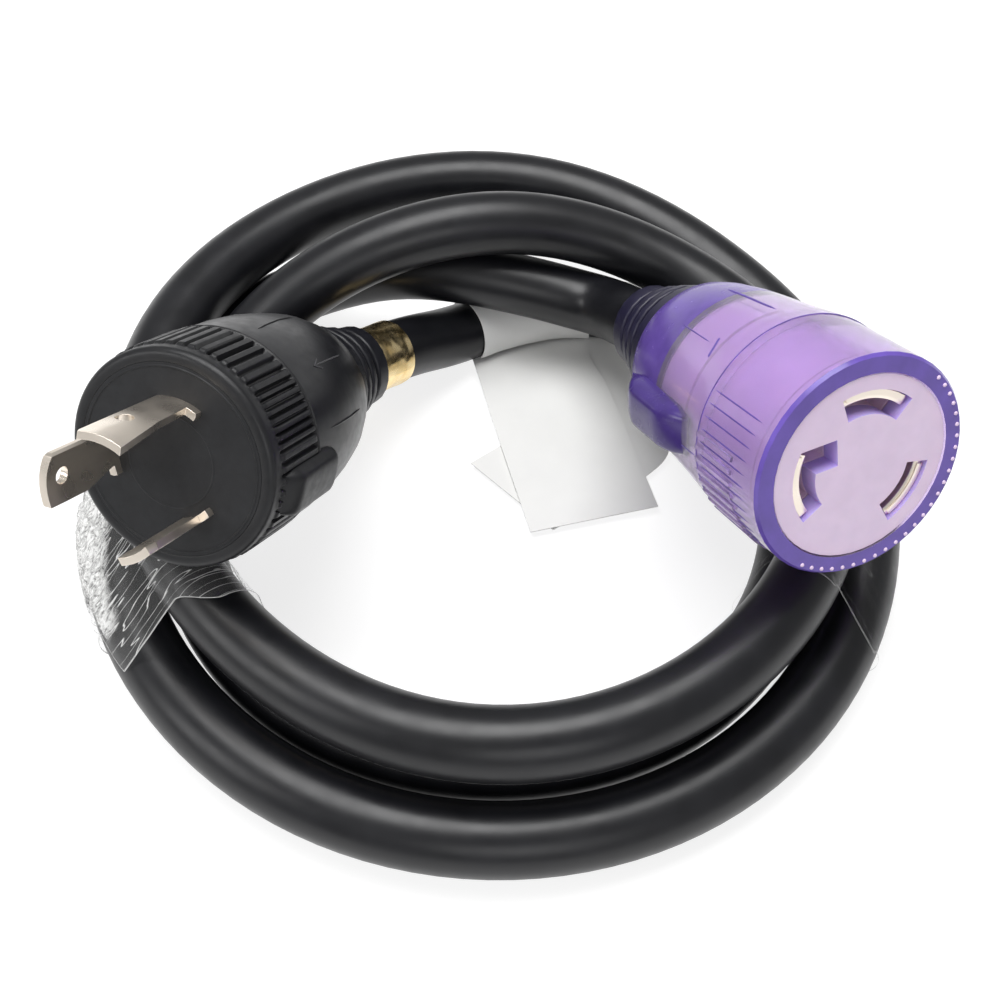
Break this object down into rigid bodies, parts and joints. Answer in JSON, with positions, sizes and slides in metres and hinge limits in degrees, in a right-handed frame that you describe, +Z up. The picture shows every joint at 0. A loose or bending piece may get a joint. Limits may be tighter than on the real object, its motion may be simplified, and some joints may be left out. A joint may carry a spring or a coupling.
{
  "type": "shore power cord",
  "caption": "Coiled shore power cord with a moulded twist-lock plug and a clear violet twist-lock connector resting on the loops, with a blank folded tag on the cord.",
  "frame": {"origin": "on the plane that the coil stands on, under the middle of the whole part's outline", "axes": "+Z up out of the coil, +X to the right seen from the front, -Y the front, where the plug's blades and the connector's face look"},
  "size_m": [0.2146, 0.2196, 0.0942],
  "materials": {
    "cord": "satin black with a blue cast",
    "plug_front": "matt",
    "plug_shell": "satin",
    "relief": "satin, dark blue-grey",
    "blade": "polished, pale",
    "clear": "clear violet",
    "lilac": "clear pale violet",
    "foil": "gold foil, creased",
    "paper": "white",
    "film": "clear packing film",
    "core_black": "matt",
    "core_white": "matt",
    "core_green": "matt"
  },
  "bodies": {
    "root": {"plug_grip_band": "plug_front", "blade_x": "blade", "blade_ground": "blade", "blade_y": "blade", "plug_face": "plug_front", "plug_rear_shell": "plug_shell", "plug_strain_relief": "relief", "plug_core_x": "core_black", "plug_core_y": "core_white", "plug_core_ground": "core_green", "connector_sleeve": "clear", "connector_face": "lilac", "connector_inner_body": "lilac", "connector_rear_shell": "clear", "connector_strain_relief": "relief", "contact_x": "blade", "contact_ground": "blade", "contact_y": "blade", "connector_core_x": "core_black", "connector_core_ground": "core_green", "connector_core_y": "core_white", "cord": "cord", "gold_band": "foil", "label_wrap": "paper", "label_leaf": "paper", "second_label_wrap": "paper", "second_label_leaf": "paper", "film_wrap_left": "film", "film_wrap_right": "film"}
  },
  "joints": []
}
